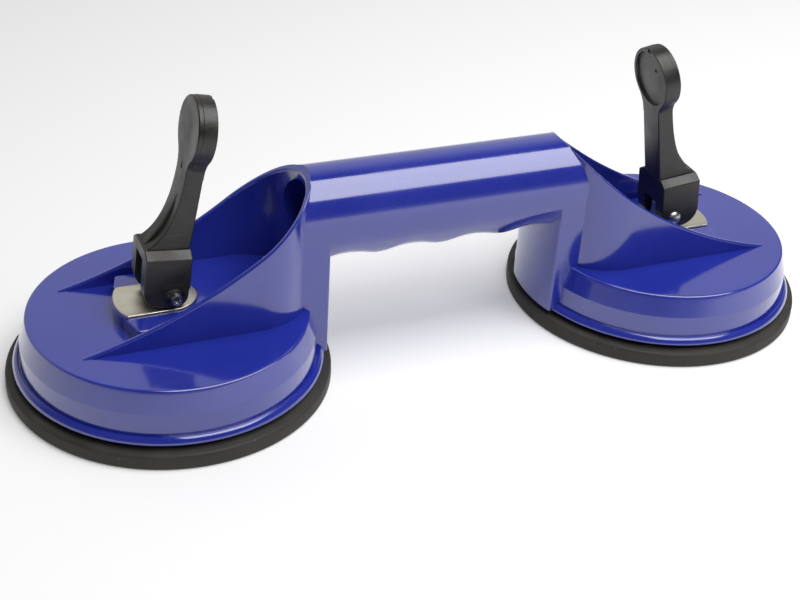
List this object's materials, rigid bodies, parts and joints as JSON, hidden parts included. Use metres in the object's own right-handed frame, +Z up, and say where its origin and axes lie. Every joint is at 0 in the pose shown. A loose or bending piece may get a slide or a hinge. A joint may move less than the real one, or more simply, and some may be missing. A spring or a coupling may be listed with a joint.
{
  "type": "vacuum suction cup",
  "caption": "Vacuum suction lifter with a rubber cup at each end of a hollow grip handle, and a cam lever that draws the centre of each cup up.",
  "frame": {"origin": "on the standing surface, midway between the cups", "axes": "+X along the handle towards the right cup, +Z up, away from the surface that the pads grip"},
  "size_m": [0.326, 0.12, 0.1102],
  "materials": {
    "blue_plastic": "gloss",
    "black_rubber": "matte",
    "black_plastic": "satin",
    "nickel_plate": "polished",
    "zinc_steel": "satin",
    "spring_steel": "satin",
    "pin_steel": "polished",
    "black_steel": "satin"
  },
  "bodies": {
    "frame": {"housing": "blue_plastic", "left_pad": "black_rubber", "left_spring": "spring_steel", "left_spring_washer": "zinc_steel", "left_wear_plate": "nickel_plate", "right_pad": "black_rubber", "right_spring": "spring_steel", "right_spring_washer": "zinc_steel", "right_wear_plate": "nickel_plate"},
    "left_stud_body": {"left_stud": "zinc_steel", "left_backing_disc": "zinc_steel"},
    "left_lever_body": {"left_lever": "black_plastic", "left_hinge_pin": "pin_steel", "left_pin_ring": "black_steel"},
    "right_stud_body": {"right_stud": "zinc_steel", "right_backing_disc": "zinc_steel"},
    "right_lever_body": {"right_lever": "black_plastic", "right_hinge_pin": "pin_steel", "right_pin_ring": "black_steel"}
  },
  "joints": [
    {"name": "left_lift", "type": "slide", "parent": "frame", "child": "left_stud_body", "axis": [0, 0, 1], "range_m": [0, 0.0064], "deforming": ["left_spring", "left_pad"]},
    {"name": "left_swing", "type": "hinge", "parent": "left_stud_body", "child": "left_lever_body", "pos_m": [-0.103, 0, 0.0385], "axis": [0, -1, 0], "range_deg": [0, 96]},
    {"name": "right_lift", "type": "slide", "parent": "frame", "child": "right_stud_body", "axis": [0, 0, 1], "range_m": [0, 0.0064], "deforming": ["right_spring", "right_pad"]},
    {"name": "right_swing", "type": "hinge", "parent": "right_stud_body", "child": "right_lever_body", "pos_m": [0.103, 0, 0.0385], "axis": [0, 1, 0], "range_deg": [0, 96]}
  ],
  "couplings": [
    {"joint": "left_swing", "follows": "left_lift", "rad_per_m": 261.78},
    {"joint": "right_swing", "follows": "right_lift", "rad_per_m": 261.78}
  ]
}
